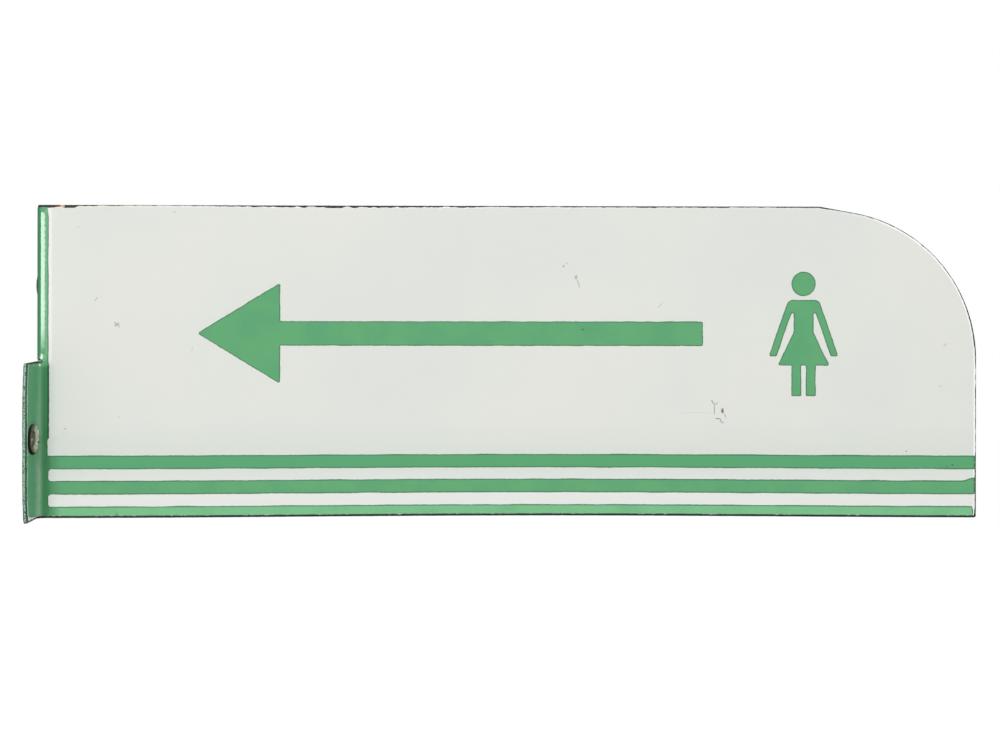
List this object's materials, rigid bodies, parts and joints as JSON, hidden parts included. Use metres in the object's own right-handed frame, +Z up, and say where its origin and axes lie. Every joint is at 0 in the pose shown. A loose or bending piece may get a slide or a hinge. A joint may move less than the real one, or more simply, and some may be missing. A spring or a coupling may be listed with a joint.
{
  "type": "double-sided enamel flange sign",
  "caption": "Double-sided porcelain enamel restroom sign that stands out from a wall on a split, folded flange with grommeted screw holes, with green stripes, an arrow and a skirted figure.",
  "frame": {"origin": "on the wall plane, at the slit between the two flange halves and at the middle of the sheet's thickness: the wall plane is the plane of the washers' backs", "axes": "+X away from the wall to the free end, -Y towards the viewer of the front side, +Z up"},
  "size_m": [0.6157, 0.0548, 0.2032],
  "materials": {
    "steel": "bare mild steel",
    "ground_enamel": "dark glossy ground coat",
    "white_enamel": "glossy off-white enamel",
    "green_enamel": "glossy mid-green enamel",
    "brass": "dull aged brass"
  },
  "bodies": {
    "root": {"steel_sheet": "steel", "ground_coat": "ground_enamel", "front_white_coat": "white_enamel", "back_white_coat": "white_enamel", "front_green_border": "green_enamel", "back_green_border": "green_enamel", "front_top_stripe": "green_enamel", "front_middle_stripe": "green_enamel", "front_bottom_stripe": "green_enamel", "back_top_stripe": "green_enamel", "back_middle_stripe": "green_enamel", "back_bottom_stripe": "green_enamel", "front_arrow": "green_enamel", "back_arrow": "green_enamel", "front_figure": "green_enamel", "back_figure": "green_enamel", "lower_eyelet": "brass", "upper_eyelet": "brass", "lower_washer": "brass", "upper_washer": "brass"}
  },
  "joints": []
}
